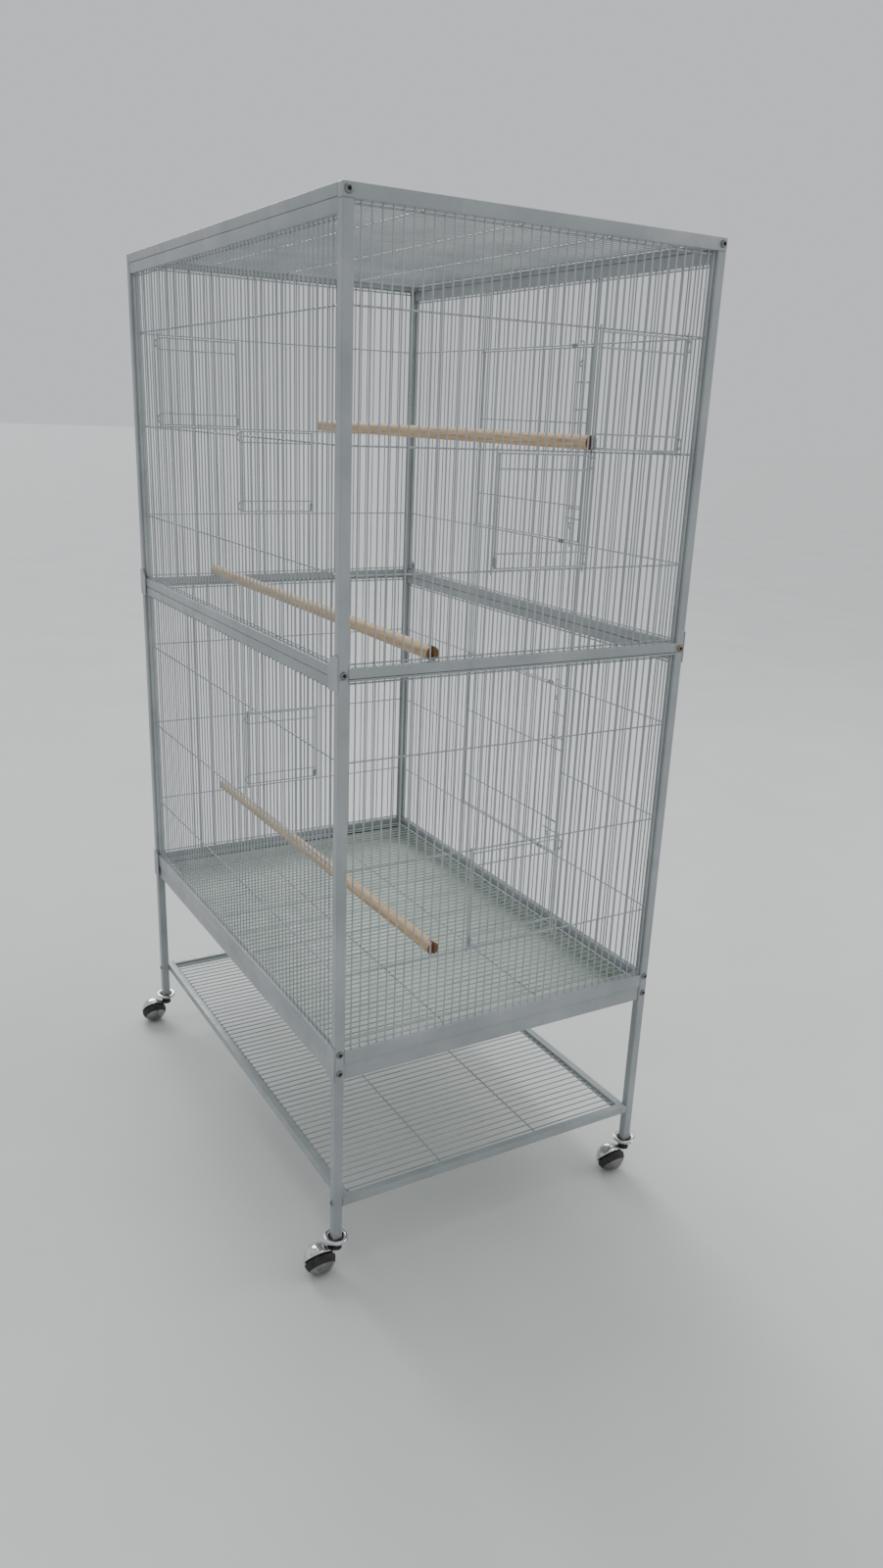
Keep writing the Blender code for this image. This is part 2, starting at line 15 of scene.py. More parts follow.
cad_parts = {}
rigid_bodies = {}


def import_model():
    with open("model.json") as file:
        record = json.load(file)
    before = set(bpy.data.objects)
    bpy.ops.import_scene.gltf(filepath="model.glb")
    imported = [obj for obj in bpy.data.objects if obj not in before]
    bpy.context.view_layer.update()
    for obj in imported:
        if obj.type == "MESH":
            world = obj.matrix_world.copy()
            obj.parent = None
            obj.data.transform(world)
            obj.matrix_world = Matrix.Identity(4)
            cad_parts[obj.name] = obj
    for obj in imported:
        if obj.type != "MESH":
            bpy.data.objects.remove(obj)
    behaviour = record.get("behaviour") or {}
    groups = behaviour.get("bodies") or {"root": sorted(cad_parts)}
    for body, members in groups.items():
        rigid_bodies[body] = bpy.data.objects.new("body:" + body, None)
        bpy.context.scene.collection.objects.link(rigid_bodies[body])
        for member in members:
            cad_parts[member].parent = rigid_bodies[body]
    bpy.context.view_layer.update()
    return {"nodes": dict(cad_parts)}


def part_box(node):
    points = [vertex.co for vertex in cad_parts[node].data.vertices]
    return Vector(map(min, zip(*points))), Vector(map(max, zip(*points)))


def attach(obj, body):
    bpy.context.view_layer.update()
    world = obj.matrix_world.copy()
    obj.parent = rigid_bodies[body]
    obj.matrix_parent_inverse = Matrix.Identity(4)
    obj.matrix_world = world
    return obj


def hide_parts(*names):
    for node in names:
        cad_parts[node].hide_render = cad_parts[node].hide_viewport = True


for old in list(bpy.data.objects):
    bpy.data.objects.remove(old, do_unlink=True)
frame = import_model()

# ---- camera -------------------------------------------------------------------------------------
CAMERA_PLACE = (-1.5577, 0.7912, 1.1257)
CAMERA_FORWARD = (0.80942, -0.48558, -0.33022)
CAMERA_RIGHT = (-0.50208, -0.86391, 0.03967)
CAMERA_LENS = 26.04
CAMERA_SHIFT = (-0.0025, 0.0193)

# ---- sizes --------------------------------------------------------------------------------------
# Wire sizes are radii. Depths run inward from the outer face of the posts. Where wires touch, they
# press TOUCH into each other, and where a wire meets a rail, it runs SINK into it.
WIRE = 0.00105
CROSS_WIRE = 0.00110
HEAVY_WIRE = 0.00135
LATCH_WIRE = 0.00115
COIL_WIRE = 0.0007
COIL_STEP = 0.0009
BORDER_WIRE = 0.0018
WIRE_SIDES = 8
TOUCH = 0.0002
BAR_DEPTH = 0.0055
CROSS_DEPTH = BAR_DEPTH + WIRE + CROSS_WIRE - TOUCH
RAIL_FACE = 0.0005
RAIL_DEPTH = 0.010
RAIL_ROUND = 0.0009
UPPER_FOOT = 0.0125
UPPER_HEAD = 0.0152
LOWER_FOOT = 0.0196
LOWER_HEAD = 0.0130
END_LOWER_HEAD = 0.0030
CAP_DEPTH = 0.0125
DECK_RAIL = 0.012
SINK = 0.002
EDGE_WIRE_RISE = 0.0035
SIDE_WIRE_INSET = 0.0015
WIRE_BOW = 0.0004
DOORWAY_EDGE = 0.002
CROSS_STOP = 0.003
UPRIGHT_LAP = 0.004
LONG_BARS = 59
LONG_PITCH = 0.0129
END_UPPER_BARS = 39
END_UPPER_PITCH = 0.0124
END_LOWER_BARS = 38
END_LOWER_PITCH = 0.0127
GRATE_PITCH = 0.0126
FRONT_DOOR_HALF_BARS = 11.5
DOOR_GAP = 0.0025
BAR_CLEARANCE = 0.004
HOOK_START = 0.004
FEEDER_LOOP_RADIUS = 0.0088
LINE_LOOP_RADIUS = 0.0095
LINE_LOOP_LENGTH = 0.040
LINE_PAST = 0.0035
LATCH_INSET = 0.0319
LATCH_SPACING = 0.0085
LATCH_LINK = 0.0195
LATCH_DEPTH = -0.0002
CROSS_UPPER = (1.2323, 1.0922, 0.9521)
CROSS_LOWER = (0.7324, 0.5926, 0.4501)
DOOR_LINE_DROP = 0.1067
DOOR_LINE_RISE = 0.0545
CAP_BOLT_DROP = 0.0072
BELT_BOLT_Z = 0.8403
BASE_BOLTS_Z = (0.3410, 0.3130)
SHELF_BOLT_Z = 0.1080
BALL = 0.0225
TRAIL = 0.025
TILT = math.radians(35)
CORNERS = ("back_left", "back_right", "front_left", "front_right")
UP = Vector((0.0, 0.0, 1.0))

end_low, end_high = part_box("left_end_upper")
post_low, post_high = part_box("post_upper_back_left")
shelf_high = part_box("storage_shelf")[1]
HALF_LENGTH = shelf_high.x
HALF_WIDTH = (end_high.y - end_low.y) / 2
CENTRE_Y = (end_high.y + end_low.y) / 2
HEIGHT = end_high.z
POST = post_high.x - post_low.x
POST_GAP = 0.0003
LONG_HALF = HALF_LENGTH - POST - POST_GAP
END_HALF = HALF_WIDTH - POST - POST_GAP


# ---- node materials -----------------------------------------------------------------------------
class Shader:
    """A Principled material whose colour, roughness and bump come from procedural nodes."""

    def __init__(self, name, metallic=0.0, specular=0.5):
        self.material = bpy.data.materials.new(name)
        self.material.use_nodes = True
        self.nodes = self.material.node_tree.nodes
        self.links = self.material.node_tree.links
        self.shader = self.nodes["Principled BSDF"]
        self.shader.inputs["Metallic"].default_value = metallic
        self.shader.inputs["Specular IOR Level"].default_value = specular
        self.coordinates = self.nodes.new("ShaderNodeTexCoord")

    def mapping(self, scale):
        """The object's own coordinates, stretched."""
        node = self.nodes.new("ShaderNodeMapping")
        node.inputs["Scale"].default_value = scale
        self.links.new(self.coordinates.outputs["Object"], node.inputs["Vector"])
        return node.outputs["Vector"]

    def noise(self, size, detail=3.0, roughness=0.55, stretch=(1.0, 1.0, 1.0)):
        """Noise whose features are about size metres across."""
        node = self.nodes.new("ShaderNodeTexNoise")
        node.inputs["Scale"].default_value = 1.0 / size
        node.inputs["Detail"].default_value = detail
        node.inputs["Roughness"].default_value = roughness
        self.links.new(self.mapping(stretch), node.inputs["Vector"])
        return node.outputs["Fac"]

    def ramp(self, value, stops):
        """Colours along a value, from (position, colour) stops."""
        node = self.nodes.new("ShaderNodeValToRGB")
        elements = node.color_ramp.elements
        while len(elements) < len(stops):
            elements.new(0.5)
        for element, (position, colour) in zip(elements, stops):
            element.position = position
            element.color = (*colour, 1.0)
        self.links.new(value, node.inputs["Fac"])
        return node.outputs["Color"]

    def grey(self, value, low, high, start=0.3, end=0.7):
        """A plain number that runs from low to high along a value."""
        return self.ramp(value, ((start, (low,) * 3), (end, (high,) * 3)))

    def mix(self, factor, under, colour):
        """Lays a plain colour over another node's colour."""
        node = self.nodes.new("ShaderNodeMix")
        node.data_type = "RGBA"
        self.links.new(factor, node.inputs["Factor"])
        self.links.new(under, node.inputs[6])
        node.inputs[7].default_value = (*colour, 1.0)
        return node.outputs[2]

    def set(self, socket, value):
        """Drives one of the material's inputs."""
        self.links.new(value, self.shader.inputs[socket])

    def bump(self, layers):
        """layers is a list of (value, depth in metres, strength), stacked from the first to the last."""
        normal = None
        for value, depth, strength in layers:
            node = self.nodes.new("ShaderNodeBump")
            node.inputs["Distance"].default_value = depth
            node.inputs["Strength"].default_value = strength
            self.links.new(value, node.inputs["Height"])
            if normal is not None:
                self.links.new(normal, node.inputs["Normal"])
            normal = node.outputs["Normal"]
        self.links.new(normal, self.shader.inputs["Normal"])


def powder_coat(name, dark, light, specular=0.5, rough=(0.30, 0.46)):
    """Sprayed light grey paint: cloudy tone, orange-peel surface, dust specks and grimy patches."""
    s = Shader(name, specular=specular)
    clouds = s.noise(0.09, 4.0)
    tone = s.ramp(clouds, ((0.30, dark), (0.72, light)))
    specks = s.ramp(s.noise(0.0012, 2.0), ((0.68, (0, 0, 0)), (0.74, (1, 1, 1))))
    dusted = s.mix(specks, tone, tuple(0.72 * c for c in dark))
    grime = s.ramp(s.noise(0.035, 5.0, 0.65, (1.0, 1.0, 0.45)), ((0.60, (0, 0, 0)), (0.78, (0.35,) * 3)))
    s.set("Base Color", s.mix(grime, dusted, tuple(0.62 * c for c in dark)))
    s.set("Roughness", s.grey(s.noise(0.02, 3.0), *rough))
    s.bump([(s.noise(0.0016, 2.0), 0.00012, 0.35), (s.noise(0.0005, 1.0), 0.00004, 0.25)])
    return s.material


def chrome_plate(name, bright, tarnished):
    """Plating with hairline scratches and faint tarnish."""
    s = Shader(name, metallic=1.0)
    tarnish = s.noise(0.011, 4.0, 0.6)
    s.set("Base Color", s.ramp(tarnish, ((0.35, bright), (0.75, tarnished))))
    scratches = s.noise(0.0011, 3.0, 0.6, (0.12, 1.0, 2.5))
    s.set("Roughness", s.grey(scratches, 0.07, 0.24, 0.45, 0.75))
    s.bump([(scratches, 0.00002, 0.2)])
    return s.material


def shaded_bolt_metal(name, rust):
    """Zinc-plated steel, with brown bloom where the plating has gone. The plating's tone is painted far
    darker than zinc, as painted shade.
    """
    s = Shader(name, metallic=1.0)
    # painted shade: the zinc plating is darkened to a dark grey because the bolts sit in shade
    shaded_plate = s.ramp(s.noise(0.003, 3.0), ((0.3, (0.15, 0.155, 0.16)), (0.7, (0.29, 0.295, 0.30))))
    bloom = s.ramp(s.noise(0.0022, 4.0, 0.65), ((0.62 - rust, (0, 0, 0)), (0.70 - rust * 0.5, (1, 1, 1))))
    s.set("Base Color", s.mix(bloom, shaded_plate, (0.33, 0.15, 0.07)))
    s.set("Roughness", s.grey(s.noise(0.0015, 3.0), 0.30, 0.55))
    s.bump([(s.noise(0.0009, 3.0), 0.00005, 0.3)])
    return s.material


def tread_rubber():
    """Black solid tyre with dust ground into it."""
    s = Shader("tread_rubber", specular=0.35)
    dust = s.noise(0.006, 5.0, 0.7)
    s.set("Base Color", s.ramp(dust, ((0.40, (0.012, 0.012, 0.013)), (0.80, (0.060, 0.056, 0.050)))))
    s.set("Roughness", s.grey(dust, 0.42, 0.75))
    s.bump([(s.noise(0.0008, 2.0), 0.00005, 0.3)])
    return s.material


def tray_plastic():
    """Pale green-grey moulded tray with a fine grain, water marks and scuffs."""
    s = Shader("tray_plastic_grain", specular=0.45)
    marks = s.noise(0.13, 5.0, 0.6)
    base = s.ramp(marks, ((0.30, (0.44, 0.52, 0.45)), (0.70, (0.57, 0.65, 0.57))))
    scuffs = s.ramp(s.noise(0.010, 5.0, 0.7, (0.3, 1.0, 1.0)), ((0.62, (0, 0, 0)), (0.80, (0.45,) * 3)))
    s.set("Base Color", s.mix(scuffs, base, (0.36, 0.40, 0.34)))
    s.set("Roughness", s.grey(s.noise(0.03, 4.0), 0.32, 0.55))
    s.bump([(s.noise(0.0011, 2.0), 0.00008, 0.35), (s.noise(0.05, 2.0), 0.0006, 0.15)])
    return s.material


def perch_wood():
    """Bare turned softwood: long fibres along X, darker pores, faint knots and bite marks."""
    s = Shader("perch_wood_grain", specular=0.30)
    fibres = s.noise(0.0026, 5.0, 0.62, (0.035, 1.0, 1.0))
    tone = s.ramp(fibres, (
        (0.28, (0.36, 0.235, 0.130)), (0.48, (0.56, 0.400, 0.240)), (0.75, (0.72, 0.560, 0.380)),
    ))
    pores = s.ramp(s.noise(0.0009, 3.0, 0.6, (0.05, 1.0, 1.0)), ((0.30, (1, 1, 1)), (0.42, (0, 0, 0))))
    pored = s.mix(pores, tone, (0.30, 0.185, 0.10))
    handled = s.ramp(s.noise(0.06, 4.0, 0.6, (0.5, 1.0, 1.0)), ((0.50, (0, 0, 0)), (0.85, (0.6,) * 3)))
    s.set("Base Color", s.mix(handled, pored, (0.42, 0.28, 0.19)))
    s.set("Roughness", s.grey(fibres, 0.50, 0.75))
    s.bump([(fibres, 0.00030, 0.5), (s.noise(0.014, 3.0), 0.0006, 0.25)])
    return s.material


def end_grain():
    """The darkened cut ends of a perch."""
    s = Shader("perch_end_grain", specular=0.2)
    rings = s.noise(0.0022, 4.0, 0.6)
    s.set("Base Color", s.ramp(rings, ((0.30, (0.12, 0.065, 0.035)), (0.75, (0.30, 0.18, 0.10)))))
    s.set("Roughness", s.grey(rings, 0.65, 0.85))
    s.bump([(rings, 0.0003, 0.4)])
    return s.material


def recess_shade():
    """Painted shade: the near-black inside of a bolt's socket or a cup."""
    s = Shader("recess_shade", specular=0.3)
    s.set("Base Color", s.ramp(s.noise(0.002, 3.0), ((0.3, (0.010, 0.010, 0.011)), (0.7, (0.035,) * 3))))
    s.set("Roughness", s.grey(s.noise(0.003, 2.0), 0.5, 0.8))
    return s.material


PAINT = powder_coat("powder_coat_grey", (0.27, 0.292, 0.302), (0.37, 0.392, 0.402))
WIRE_PAINT = powder_coat("wire_coat_grey", (0.30, 0.325, 0.335), (0.42, 0.445, 0.455), 0.6, (0.26, 0.40))
CHROME = chrome_plate("chrome_plate", (0.78, 0.78, 0.79), (0.48, 0.45, 0.41))
# painted shade: a darker copy of the chrome plate, for the lower half of the caster ball
SHADED_CHROME = chrome_plate("chrome_plate_shaded", (0.30, 0.30, 0.31), (0.17, 0.15, 0.13))
SHADED_ZINC = shaded_bolt_metal("bolt_zinc_shaded", 0.0)
SHADED_RUSTY = shaded_bolt_metal("bolt_rusty_shaded", 0.22)
RUBBER = tread_rubber()
TRAY = tray_plastic()
WOOD = perch_wood()
WOOD_END = end_grain()
RECESS_SHADE = recess_shade()


# ---- mesh building ------------------------------------------------------------------------------
class Builder:
    """Collects closed shells into one mesh, each with a material number."""

    def __init__(self):
        self.points = []
        self.faces = []
        self.numbers = []
        self.smooth = []

    def face(self, indices, number=0, smooth=True):
        """Adds one face with its material number."""
        self.faces.append(indices)
        self.numbers.append(number)
        self.smooth.append(smooth)

    def tube(self, path, radius, sides=WIRE_SIDES, closed=False):
        """A round wire along a path, turned without twist."""
        path = [Vector(p) for p in path]
        count = len(path)
        start = len(self.points)
        side = None
        for i, point in enumerate(path):
            before = path[i - 1] if i or closed else point
            after = path[(i + 1) % count] if i < count - 1 or closed else point
            along = (after - before).normalized()
            if side is None:
                side = along.orthogonal().normalized()
            side = (side - along * side.dot(along)).normalized()
            other = along.cross(side)
            for k in range(sides):
                angle = 2 * math.pi * k / sides
                self.points.append(point + radius * (math.cos(angle) * side + math.sin(angle) * other))
        for i in range(count if closed else count - 1):
            a = start + i * sides
            b = start + (i + 1) % count * sides
            for k in range(sides):
                j = (k + 1) % sides
                self.face((a + k, a + j, b + j, b + k))
        if not closed:
            last = start + (count - 1) * sides
            self.face(tuple(start + k for k in reversed(range(sides))), smooth=False)
            self.face(tuple(last + k for k in range(sides)), smooth=False)

    def solid(self, bm, smooth=False):
        """Adds a bmesh's faces and frees it."""
        bm.verts.index_update()
        start = len(self.points)
        self.points.extend(v.co.copy() for v in bm.verts)
        for f in bm.faces:
            self.face(tuple(start + v.index for v in f.verts), smooth=smooth)
        bm.free()

    def bar(self, low, high, radius=RAIL_ROUND):
        """A rail with rounded edges between two corners."""
        low, high = Vector(low), Vector(high)
        corners = [Vector(map(min, low, high)), Vector(map(max, low, high))]
        size = corners[1] - corners[0]
        bm = bmesh.new()
        matrix = Matrix.Translation((low + high) / 2) @ Matrix.Diagonal((*size, 1.0))
        bmesh.ops.create_cube(bm, size=1.0, matrix=matrix)
        bmesh.ops.bevel(
            bm, geom=bm.edges[:], offset=min(radius, min(size) * 0.45), segments=3,
            profile=0.5, affect="EDGES", clamp_overlap=True,
        )
        self.solid(bm, smooth=True)

    def lathe(self, profile, matrix, segments=48, number=0):
        """Turns (radius, height) points about the matrix's Z axis. A radius of 0 closes the shape."""
        rows = []
        for radius, height in profile:
            row = []
            for k in range(1 if radius == 0 else segments):
                angle = 2 * math.pi * k / segments
                point = Vector((radius * math.cos(angle), radius * math.sin(angle), height))
                self.points.append(matrix @ point)
                row.append(len(self.points) - 1)
            rows.append(row)
        for lower, upper in zip(rows, rows[1:]):
            for k in range(segments):
                j = (k + 1) % segments
                if len(lower) == 1:
                    self.face((lower[0], upper[j], upper[k]), number)
                elif len(upper) == 1:
                    self.face((lower[k], lower[j], upper[0]), number)
                else:
                    self.face((lower[k], lower[j], upper[j], upper[k]), number)

    def piece(self, name, materials, body, slot, replaces=()):
        """Makes the object, rides it on its body and hides the CAD nodes it replaces."""
        mesh = bpy.data.meshes.new(name)
        mesh.from_pydata(self.points, [], self.faces)
        mesh.polygons.foreach_set("material_index", self.numbers)
        mesh.polygons.foreach_set("use_smooth", self.smooth)
        for material in materials:
            mesh.materials.append(material)
        bm = bmesh.new()
        bm.from_mesh(mesh)
        bmesh.ops.recalc_face_normals(bm, faces=bm.faces)
        bm.to_mesh(mesh)
        bm.free()
        mesh.set_sharp_from_angle(angle=math.radians(50))
        obj = bpy.data.objects.new(name, mesh)
        bpy.context.scene.collection.objects.link(obj)
        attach(obj, body)
        if replaces:
            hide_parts(*replaces)
        return obj


def arc(centre, radius, first, last, u_axis, v_axis, steps=8):
    """Points of an arc in the plane of two directions, angles in degrees."""
    points = []
    for i in range(steps + 1):
        angle = math.radians(first + (last - first) * i / steps)
        points.append(centre + radius * (math.cos(angle) * u_axis + math.sin(angle) * v_axis))
    return points


def helix(centre, axis, across, radius, length, turns):
    """A coil about an axis through centre."""
    other = axis.cross(across)
    points = []
    steps = int(turns * 14)
    for i in range(steps + 1):
        angle = 2 * math.pi * turns * i / steps
        along = (i / steps - 0.5) * length
        points.append(centre + along * axis + radius * (math.cos(angle) * across + math.sin(angle) * other))
    return points


# ---- walls --------------------------------------------------------------------------------------
class Wall:
    """Maps u along a wall, v up and w inward from the outer face of the posts."""

    def __init__(self, side):
        self.side = side

    def __call__(self, u, v, w):
        if self.side == "back":
            return Vector((u, CENTRE_Y + HALF_WIDTH - w, v))
        if self.side == "front":
            return Vector((u, CENTRE_Y - HALF_WIDTH + w, v))
        if self.side == "left":
            return Vector((-HALF_LENGTH + w, CENTRE_Y + u, v))
        return Vector((HALF_LENGTH - w, CENTRE_Y - u, v))

    def direction(self, u, v, w):
        """A step in the wall's own directions, as a step in the scene."""
        return self(u, v, w) - self(0, 0, 0)


WALLS = {side: Wall(side) for side in ("back", "front", "left", "right")}


def bar_positions(count, pitch):
    """Places of evenly spaced wires about a wall's middle."""
    return [(i - (count - 1) / 2) * pitch for i in range(count)]


def front_opening(crosses):
    """The doorway (u0, v0, u1, v1) of a front wall."""
    half = FRONT_DOOR_HALF_BARS * LONG_PITCH
    return (-half, crosses[2], half, crosses[0])


def feeder_openings():
    """The three feeder doorways (u0, v0, u1, v1) of an end wall."""
    pitch = END_UPPER_PITCH
    return {
        "high": (-17.5 * pitch, CROSS_UPPER[1], -6.5 * pitch, CROSS_UPPER[0]),
        "middle": (-6.5 * pitch, CROSS_UPPER[2], 4.5 * pitch, CROSS_UPPER[1]),
        "low": (-6 * END_LOWER_PITCH, CROSS_LOWER[2], 5 * END_LOWER_PITCH, CROSS_LOWER[1]),
    }


def wall_wires(place, half, low, high, bars, crosses, openings, full_uprights):
    """The upright, cross and edge wires of one wall panel between its rails."""
    wires = Builder()
    sway = random.Random(int(half * 1e5) + int(low * 1e4))
    for u in bars:
        start = low - SINK
        spans = []
        for u0, v0, u1, v1 in sorted(openings, key=lambda box: box[1]):
            if u0 < u < u1:
                spans.append((start, v0 + CROSS_WIRE))
                start = v1 - CROSS_WIRE
        spans.append((start, high + SINK))
        for v0, v1 in spans:
            bow = sway.uniform(-WIRE_BOW, WIRE_BOW)
            middle = place(u + bow, (v0 + v1) / 2, BAR_DEPTH)
            wires.tube((place(u, v0, BAR_DEPTH), middle, place(u, v1, BAR_DEPTH)), WIRE)
    for side in (-1, 1):
        u = side * (half - SIDE_WIRE_INSET)
        wires.tube((place(u, low - SINK, BAR_DEPTH), place(u, high + SINK, BAR_DEPTH)), HEAVY_WIRE)
    for v in crosses:
        start = -half
        for u0, v0, u1, v1 in sorted(openings):
            if v0 + DOORWAY_EDGE < v < v1 - DOORWAY_EDGE:
                stop = u0 - CROSS_STOP
                wires.tube((place(start, v, CROSS_DEPTH), place(stop, v, CROSS_DEPTH)), CROSS_WIRE)
                start = u1 + CROSS_STOP
        wires.tube((place(start, v, CROSS_DEPTH), place(half, v, CROSS_DEPTH)), CROSS_WIRE)
    for v in (low + EDGE_WIRE_RISE, high - EDGE_WIRE_RISE):
        wires.tube((place(-half, v, CROSS_DEPTH), place(half, v, CROSS_DEPTH)), CROSS_WIRE)
    for u0, v0, u1, v1 in openings:
        foot, head = (low - SINK, high + SINK) if full_uprights else (v0 - UPRIGHT_LAP, v1 + UPRIGHT_LAP)
        for u in (u0, u1):
            wires.tube((place(u, foot, BAR_DEPTH), place(u, head, BAR_DEPTH)), HEAVY_WIRE)
    return wires


def build_wall(name, place, half, bottom, top, bars, crosses, openings=(), full_uprights=False):
    """One wall panel: wires between a rail below and a rail above. A top of 0 stands for the cap."""
    node_low, node_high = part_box(name)
    low, high = node_low.z, node_high.z
    inner = RAIL_FACE + RAIL_DEPTH
    rails = Builder()
    rails.bar(place(-half, low, RAIL_FACE), place(half, low + bottom, inner))
    if top:
        rails.bar(place(-half, high - top, RAIL_FACE), place(half, high, inner))
    else:
        high = HEIGHT - UPPER_HEAD
        rails.bar(place(-HALF_WIDTH, high, 0.0), place(HALF_WIDTH, HEIGHT, CAP_DEPTH), 0.0012)
    rails.piece(f"{name}_rails", [PAINT], "cage", "painted_steel", [name])
    wires = wall_wires(place, half, low + bottom, high - top, bars, crosses, openings, full_uprights)
    wires.piece(f"{name}_wires", [WIRE_PAINT], "cage", "painted_steel", [name])


def build_walls():
    """All eight wall panels."""
    long_bars = bar_positions(LONG_BARS, LONG_PITCH)
    for side in ("back", "front"):
        place = WALLS[side]
        tiers = (
            ("upper", UPPER_FOOT, UPPER_HEAD, CROSS_UPPER),
            ("lower", LOWER_FOOT, LOWER_HEAD, CROSS_LOWER),
        )
        for tier, foot, head, crosses in tiers:
            openings = [front_opening(crosses)] if side == "front" else []
            build_wall(
                f"{side}_panel_{tier}", place, LONG_HALF, foot, head, long_bars, crosses, openings, True,
            )
    doors = feeder_openings()
    upper_bars = bar_positions(END_UPPER_BARS, END_UPPER_PITCH)
    lower_bars = bar_positions(END_LOWER_BARS, END_LOWER_PITCH)
    for side in ("left", "right"):
        place = WALLS[side]
        build_wall(
            f"{side}_end_upper", place, END_HALF, UPPER_FOOT, 0.0, upper_bars, CROSS_UPPER,
            [doors["high"], doors["middle"]],
        )
        build_wall(
            f"{side}_end_lower", place, END_HALF, LOWER_FOOT, END_LOWER_HEAD, lower_bars, CROSS_LOWER,
            [doors["low"]],
        )


# ---- doors --------------------------------------------------------------------------------------
def door_outline(opening):
    """A doorway drawn in by the gap round its door."""
    u0, v0, u1, v1 = opening
    return (u0 + DOOR_GAP, v0 + DOOR_GAP, u1 - DOOR_GAP, v1 - DOOR_GAP)


def hinge_hook(place, u, v):
    """The end of a door's cross wire, bent round the upright it hinges on."""
    tail = 0.0022
    radius = HEAVY_WIRE + WIRE + TOUCH
    along = place.direction(1, 0, 0)
    points = arc(place(u, v, BAR_DEPTH), radius, 90, -90, along, place.direction(0, 0, 1))
    return points + [points[-1] - along * tail]


def door_bars(door, place, box, bars):
    """A door's uprights, with heavier ones down its two sides."""
    u0, v0, u1, v1 = box
    for u in bars:
        if u0 + BAR_CLEARANCE < u < u1 - BAR_CLEARANCE:
            door.tube((place(u, v0, BAR_DEPTH), place(u, v1, BAR_DEPTH)), WIRE)
    for u in (u0 + HEAVY_WIRE, u1 - HEAVY_WIRE):
        door.tube((place(u, v0, BAR_DEPTH), place(u, v1, BAR_DEPTH)), HEAVY_WIRE)


def build_front_door(tier, crosses):
    """A large wire door: hooked round its hinge upright, with looped line ends at the latch side."""
    place = WALLS["front"]
    opening = front_opening(crosses)
    hinge = opening[2]
    u0, v0, u1, v1 = door_outline(opening)
    door = Builder()
    door_bars(door, place, (u0, v0, u1, v1), bar_positions(LONG_BARS, LONG_PITCH))
    depth = BAR_DEPTH + 2 * WIRE - TOUCH
    for v in (v0 + WIRE, v1 - WIRE):
        hook = hinge_hook(place, hinge, v)
        door.tube([place(u0, v, depth), place(hinge - HOOK_START, v, depth)] + hook, CROSS_WIRE)
    line_depth = BAR_DEPTH - 2 * WIRE + TOUCH
    apex = u0 + LINE_LOOP_RADIUS
    across = place.direction(-1, 0, 0)
    for v, turn in ((crosses[0] - DOOR_LINE_DROP, 1), (crosses[2] + DOOR_LINE_RISE, -1)):
        centre = place(apex, v + turn * LINE_LOOP_RADIUS, line_depth)
        loop = arc(centre, LINE_LOOP_RADIUS, -90, 90, across, turn * UP, 14)
        tail = place(u0 + LINE_LOOP_LENGTH, v + turn * (2 * LINE_LOOP_RADIUS - 0.001), line_depth)
        far_end = place(u1 + LINE_PAST, v, line_depth)
        door.tube([far_end] + loop + [tail], CROSS_WIRE)
    name = f"front_door_{tier}"
    door.piece(f"{name}_wires", [WIRE_PAINT], name, "painted_wire", [name])


def build_front_latch(tier, crosses):
    """The double wire that slides up near the free edge, with its links and tails, and the wall's coils."""
    place = WALLS["front"]
    u0, v0, _, v1 = front_opening(crosses)
    near = u0 + LATCH_INSET
    far = near + LATCH_SPACING
    link_end = near - LATCH_LINK
    along = place.direction(1, 0, 0)
    bend = 0.0028
    corner = 0.0030
    reach = 0.0310

    def at(u, v):
        return place(u, v, LATCH_DEPTH)

    latch = Builder()
    hook_centre = place(near, v1 + 0.0030, LATCH_DEPTH + bend)
    hook = arc(hook_centre, bend, 180, 0, place.direction(0, 0, 1), UP, 8)
    latch.tube([at(near, v0 - 0.0070), at(near, (v0 + v1) / 2)] + hook, LATCH_WIRE)
    turn = arc(at(far - corner, v1 - reach), corner, 0, 90, along, UP, 6)
    foot = arc(at(far - corner, v0 + reach), corner, -90, 0, along, UP, 6)
    latch.tube([at(near, foot[0].z)] + foot + turn + [at(near, turn[-1].z)], LATCH_WIRE)
    for fraction in (0.18, 0.82):
        v = v0 + fraction * (v1 - v0)
        latch.tube([at(link_end, v), at(far + 0.0008, v)], WIRE)
        for u in (link_end, far):
            latch.tube([at(u - 0.0012, v), at(u + 0.0012, v)], 0.0016)
    for v, rise in ((v0, 1), (v1, -1)):
        tail = [at(near, v + rise * 0.0180), at(near + 0.0055, v + rise * 0.0240), at(far, v + rise * reach)]
        latch.tube(tail, 0.0009)
    name = f"front_latch_{tier}"
    latch.piece(f"{name}_wires", [WIRE_PAINT], name, "painted_wire", [name])

    coils = Builder()
    for v in (v0, v1):
        centre = place(far + 0.0040, v, CROSS_DEPTH)
        coils.tube(helix(centre, along, UP, CROSS_WIRE + COIL_STEP, 0.0090, 5), COIL_WIRE, 6)
    coils.piece(f"front_latch_coils_{tier}", [WIRE_PAINT], "cage", "painted_wire")


